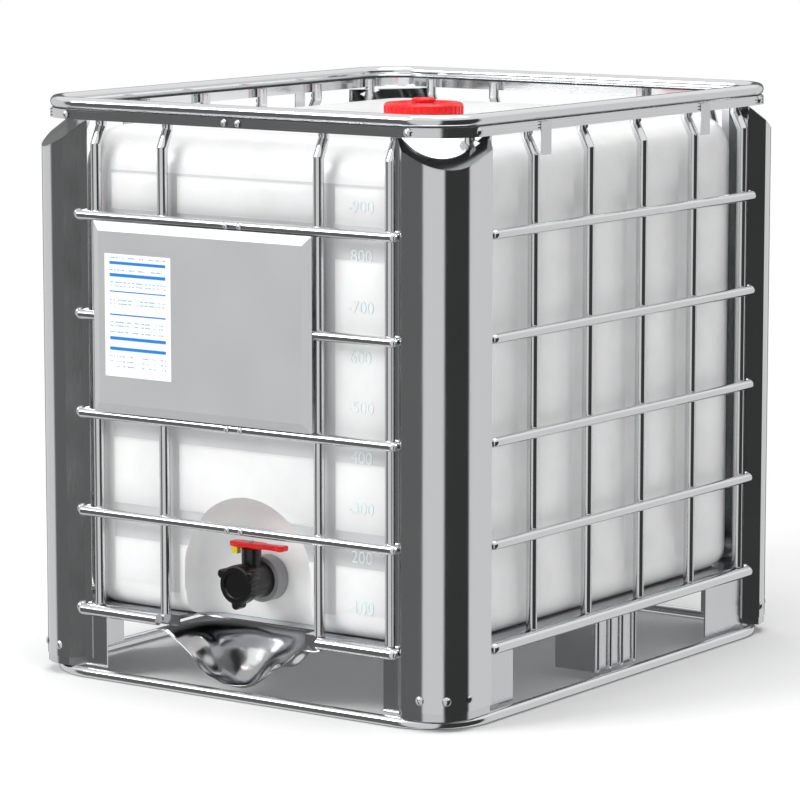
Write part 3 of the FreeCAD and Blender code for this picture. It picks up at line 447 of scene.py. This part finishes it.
# Label: a printed white film stuck on the plate, with plain blue heading bars and faint ruled lines.
BAR_ROWS = ((0.915, 0.940), (0.815, 0.842), (0.690, 0.700), (0.500, 0.512), (0.300, 0.327), (0.215, 0.242))
LINE_SHARES = (0.965, 0.865, 0.765, 0.735, 0.620, 0.590, 0.440, 0.410, 0.360, 0.160, 0.120, 0.080)
BAR_MARGIN, LINE_HEIGHT = 0.012, 0.0022
film, tree, shader = new_material("printed_label_film", "#FBFBFC", 0.35)
place = add_node(tree, "ShaderNodeTexCoord").outputs["Object"]
paper = add_node(tree, "ShaderNodeTexNoise", {"Vector": place, "Scale": 1000 / 3, "Detail": 2.0})
gloss = add_node(tree, "ShaderNodeMapRange", {"Value": paper.outputs["Fac"], "To Min": 0.3, "To Max": 0.42})
tree.links.new(gloss.outputs["Result"], shader.inputs["Roughness"])
blue_ink, tree, shader = new_material("blue_label_ink", "#1183E0", 0.35)
place = add_node(tree, "ShaderNodeTexCoord").outputs["Object"]
dots = add_node(tree, "ShaderNodeTexNoise", {"Vector": place, "Scale": 1000 / 2, "Detail": 1.0})
gloss = add_node(tree, "ShaderNodeMapRange", {"Value": dots.outputs["Fac"], "To Min": 0.3, "To Max": 0.45})
tree.links.new(gloss.outputs["Result"], shader.inputs["Roughness"])
sheet_low, sheet_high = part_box("label_sheet")
sheet_tall = sheet_high.z - sheet_low.z
label = start(bpy.ops.mesh.primitive_cube_add, size=1, location=(sheet_low + sheet_high) / 2,
              scale=sheet_high - sheet_low)
printed = [(sheet_low.z + a * sheet_tall, sheet_low.z + b * sheet_tall) for a, b in BAR_ROWS]
ruled = [(sheet_low.z + a * sheet_tall, sheet_low.z + a * sheet_tall + LINE_HEIGHT) for a in LINE_SHARES]
for value in {v for row in printed + ruled for v in row}:
    slice_at(2, value)
slice_at(0, sheet_low.x + BAR_MARGIN)
slice_at(0, sheet_high.x - BAR_MARGIN)
bpy.ops.object.mode_set(mode="OBJECT")
settle(label, "printed_label", film, "container", ["label_sheet"])
label.data.materials.append(blue_ink)
pale_ink, tree, shader = new_material("pale_label_ink", "#A9CDE8", 0.4)
place = add_node(tree, "ShaderNodeTexCoord").outputs["Object"]
words = add_node(tree, "ShaderNodeMapping", {"Vector": place, "Scale": (220, 1, 30)})
breaks = add_node(tree, "ShaderNodeTexNoise", {"Vector": words.outputs[0], "Scale": 1.0, "Detail": 1.0})
ink = add_node(tree, "ShaderNodeValToRGB", {"Fac": breaks.outputs["Fac"]})
set_ramp(ink, [(0.45, "#7FB4DC"), (0.55, "#FBFBFC")])
tree.links.new(ink.outputs["Color"], shader.inputs["Base Color"])
label.data.materials.append(pale_ink)
for face in label.data.polygons:
    spot = face.center
    if face.normal.y < -0.9 and sheet_low.x + BAR_MARGIN < spot.x < sheet_high.x - BAR_MARGIN:
        face.material_index = (1 if any(a < spot.z < b for a, b in printed)
                               else 2 if any(a < spot.z < b for a, b in ruled) else 0)


# Drain lip: thin sheet pressed and beaten by hand into a deep spout below the valve, so it is wavy.
LIP_HALF, LIP_FRONT, LIP_BACK, LIP_LEVEL, LIP_DROP = 0.19, -0.594, -0.43, 0.1195, 0.083
beaten_steel = stainless("beaten_stainless_sheet", "#DEDFE0", 0.14, 0.05, 0.35)
lip = start(bpy.ops.mesh.primitive_grid_add, x_subdivisions=44, y_subdivisions=20, size=1,
            location=(0, (LIP_FRONT + LIP_BACK) / 2, LIP_LEVEL))
bpy.ops.transform.resize(value=(2 * LIP_HALF, LIP_BACK - LIP_FRONT, 1),
                         center_override=(0, (LIP_FRONT + LIP_BACK) / 2, LIP_LEVEL))
PUSHES = (((0.0, LIP_FRONT), 0.020, (0, 0, -LIP_DROP), 0.17), ((-0.02, -0.53), 0.02, (0, 0, -0.02), 0.07),
          ((0.075, -0.565), 0.010, (0, 0, 0.016), 0.030), ((0.115, -0.545), 0.010, (0, 0, -0.013), 0.028),
          ((-0.075, -0.58), 0.010, (0, 0, -0.010), 0.030), ((0.03, -0.52), 0.008, (0, 0, 0.009), 0.026),
          ((-0.11, -0.55), 0.010, (0, 0, 0.008), 0.035), ((0.15, -0.585), 0.010, (0, 0, 0.006), 0.026))
for (x, y), reach, push, spread in PUSHES:
    pick("VERT", lambda vert: (vert.co.x - x) ** 2 + (vert.co.y - y) ** 2 < reach ** 2)
    bpy.ops.transform.translate(value=push, use_proportional_edit=True, proportional_edit_falloff="SMOOTH",
                                proportional_size=spread)
bpy.ops.object.mode_set(mode="OBJECT")
modify(lip, "SOLIDIFY", thickness=0.002, offset=-1)
modify(lip, "SUBSURF", levels=1, render_levels=1)
settle(lip, "drain_spout", beaten_steel, "container", ["drain_lip"], angle=60)


# Plastic parts: moulded polypropylene in red, black, yellow and grey, glossy with a faint orange-peel
# skin, and soft rubber seals.
def plastic(name, colour, roughness, skin_mm=1.5, depth=0.06):
    """Moulded plastic with uneven gloss and a faint skin pattern."""
    material, tree, shader = new_material(name, colour, roughness)
    place = add_node(tree, "ShaderNodeTexCoord").outputs["Object"]
    peel = add_node(tree, "ShaderNodeTexNoise", {"Vector": place, "Scale": 1000 / skin_mm, "Detail": 2.0})
    gloss = add_node(tree, "ShaderNodeMapRange", {"Value": peel.outputs["Fac"], "To Min": roughness - 0.06,
                                                  "To Max": roughness + 0.06})
    tree.links.new(gloss.outputs["Result"], shader.inputs["Roughness"])
    bumped = add_node(tree, "ShaderNodeBump", {"Strength": depth, "Distance": 0.0005,
                                               "Height": peel.outputs["Fac"]})
    tree.links.new(bumped.outputs[0], shader.inputs["Normal"])
    return material


red = plastic("moulded_red_polypropylene", "#EE0A10", 0.28)
black = plastic("moulded_black_polypropylene", "#0A0A0B", 0.30)
yellow = plastic("moulded_yellow_polypropylene", "#F0E010", 0.32)
grey = plastic("moulded_grey_polypropylene", "#8C8D8F", 0.32)
rubber = plastic("seal_rubber", "#141414", 0.6, 0.8, 0.15)
for name, material in {"valve_body": black, "valve_disc": black, "collar_nut": grey, "handle_lock": yellow,
                       "lid_gasket": rubber, "vent_gasket": rubber, "outlet_seal": rubber,
                       "cap_gasket": rubber}.items():
    finish_node(name, material)


def raised(name, centre, steps, sides=96):
    """A round solid built up from a disc: each step is (rise, radius)."""
    piece = start(bpy.ops.mesh.primitive_circle_add, vertices=sides, radius=steps[0][1], fill_type="NGON",
                  location=(centre[0], centre[1], centre[2] + steps[0][0]))
    piece.name = name
    radius = steps[0][1]
    for (before, _), (level, wanted) in zip(steps, steps[1:]):
        bpy.ops.mesh.extrude_region_move(TRANSFORM_OT_translate={"value": (0, 0, level - before)})
        bpy.ops.transform.resize(value=(wanted / radius, wanted / radius, 1), center_override=(*centre[:2], 0))
        radius = wanted
    bpy.ops.mesh.select_all(action="SELECT")
    bpy.ops.mesh.normals_make_consistent(inside=False)
    bpy.ops.object.mode_set(mode="OBJECT")
    return piece


def ribs_round(piece, centre, count, radius, size, level):
    """Upright grip ribs round a cap, each a small bevelled bar, joined to the piece."""
    bars = []
    for index in range(count):
        turn = 2 * math.pi * index / count
        bar = start(bpy.ops.mesh.primitive_cube_add, size=1, rotation=(0, 0, turn), scale=size,
                    location=(centre[0] + radius * math.cos(turn), centre[1] + radius * math.sin(turn), level))
        bpy.ops.mesh.bevel(offset=min(size) * 0.3, segments=2, affect="EDGES")
        bpy.ops.object.mode_set(mode="OBJECT")
        bars.append(bar)
    bpy.ops.object.select_all(action="DESELECT")
    for bar in bars + [piece]:
        bar.select_set(True)
    bpy.context.view_layer.objects.active = piece
    bpy.ops.object.join()


# Lid: a red screw cap with a ribbed skirt and a stepped top, and a small ribbed vent cap in its middle.
lid_low, lid_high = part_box("lid")
lid_centre = (0, (lid_low.y + lid_high.y) / 2, lid_low.z)
lid_radius = (lid_high.x - lid_low.x) / 2
vent_low, vent_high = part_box("vent_cap")
plate_top = vent_low.z - 0.001 - lid_low.z
lid_skirt = lid_radius - 0.0015
lid = raised("lid_cap", lid_centre, ((0, lid_radius - 0.003), (0.002, lid_skirt), (plate_top - 0.003, lid_skirt),
                                     (plate_top, lid_radius - 0.005), (plate_top, 0.060), (plate_top - 0.004, 0.057),
                                     (plate_top - 0.004, 0.034), (plate_top - 0.0005, 0.031),
                                     (plate_top - 0.0005, 0.010)))
ribs_round(lid, lid_centre, 36, lid_radius - 0.002, (0.0035, 0.005, plate_top - 0.008),
           lid_low.z + plate_top / 2 - 0.001)
settle(lid, "ribbed_lid", red, "lid", ["lid"])
vent_radius = (vent_high.x - vent_low.x) / 2
vent_rise = vent_high.z - vent_low.z
vent_skirt = vent_radius - 0.001
vent = raised("vent", (0, lid_centre[1], vent_low.z), ((0, vent_skirt), (vent_rise - 0.002, vent_skirt),
                                                       (vent_rise, vent_radius - 0.003), (vent_rise, 0.014),
                                                       (vent_rise - 0.0015, 0.012), (vent_rise - 0.0015, 0.004)))
ribs_round(vent, lid_centre, 20, vent_radius - 0.0012, (0.0022, 0.003, vent_rise - 0.003),
           vent_low.z + vent_rise / 2 - 0.0005)
settle(vent, "ribbed_vent_cap", red, "vent", ["vent_cap"])

# Dust cap: a black screw cap on the valve's mouth with a ribbed skirt and three grip lobes.
cap_low, cap_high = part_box("dust_cap")
cap_radius, cap_depth, lobe = 0.038, cap_high.y - cap_low.y, 0.009
cap_skirt = cap_radius - 0.001
cap = raised("cap", (0, 0, 0), ((0, cap_skirt), (cap_depth - 0.003, cap_skirt), (cap_depth, cap_radius - 0.004),
                                (cap_depth, 0.026), (cap_depth - 0.003, 0.024), (cap_depth - 0.003, 0.006)))
ribs_round(cap, (0, 0, 0), 30, cap_radius - 0.0012, (0.002, 0.0035, cap_depth - 0.006), cap_depth / 2 - 0.001)
lobes = []
for angle in (270, 30, 150):
    turn = math.radians(angle)
    knob = start(bpy.ops.mesh.primitive_cylinder_add, vertices=32, radius=lobe, depth=cap_depth - 0.001,
                 location=(cap_radius * math.cos(turn), cap_radius * math.sin(turn), cap_depth / 2))
    pick("EDGE", lambda edge: abs(edge.verts[0].co.z - edge.verts[1].co.z) < 1e-5)
    bpy.ops.mesh.bevel(offset=0.002, segments=3, affect="EDGES")
    bpy.ops.object.mode_set(mode="OBJECT")
    lobes.append(knob)
bpy.ops.object.select_all(action="DESELECT")
for knob in lobes + [cap]:
    knob.select_set(True)
bpy.context.view_layer.objects.active = cap
bpy.ops.object.join()
cap.rotation_euler = (math.pi / 2, 0, 0)
cap.location = (0, cap_high.y, VALVE_HEIGHT)
settle(cap, "lobed_dust_cap", black, "cap", ["dust_cap"])

# Lever: a red moulded handle with a round hub on the valve's stem and a waisted grip with a fat end.
lever_low, lever_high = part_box("valve_handle")
lever_y = (lever_low.y + lever_high.y) / 2
lever_thick = lever_high.z - lever_low.z
lever = start(bpy.ops.mesh.primitive_grid_add, x_subdivisions=16, y_subdivisions=4, size=1,
              location=((lever_low.x + lever_high.x) / 2, lever_y, lever_low.z))
bpy.ops.transform.resize(value=(lever_high.x - lever_low.x, lever_high.y - lever_low.y, 1),
                         center_override=((lever_low.x + lever_high.x) / 2, lever_y, lever_low.z))
WAIST = ((0.030, 0.62), (0.040, 0.56), (0.050, 0.60), (0.060, 0.68),
         (-0.036, 0.80), (-0.046, 0.62), (0.080, 0.72))
for x, share in WAIST:
    pick("VERT", lambda vert: abs(vert.co.x - x) < 0.0045)
    bpy.ops.transform.resize(value=(1, share, 1), center_override=(0, lever_y, 0))
bpy.ops.mesh.select_all(action="SELECT")
bpy.ops.mesh.extrude_region_move(TRANSFORM_OT_translate={"value": (0, 0, lever_thick)})
bpy.ops.mesh.select_all(action="SELECT")
bpy.ops.mesh.normals_make_consistent(inside=False)
bpy.ops.object.mode_set(mode="OBJECT")
modify(lever, "BEVEL", width=0.0028, segments=3, limit_method="ANGLE", angle_limit=math.radians(50))
settle(lever, "valve_lever", red, "handle", ["valve_handle"], angle=50)
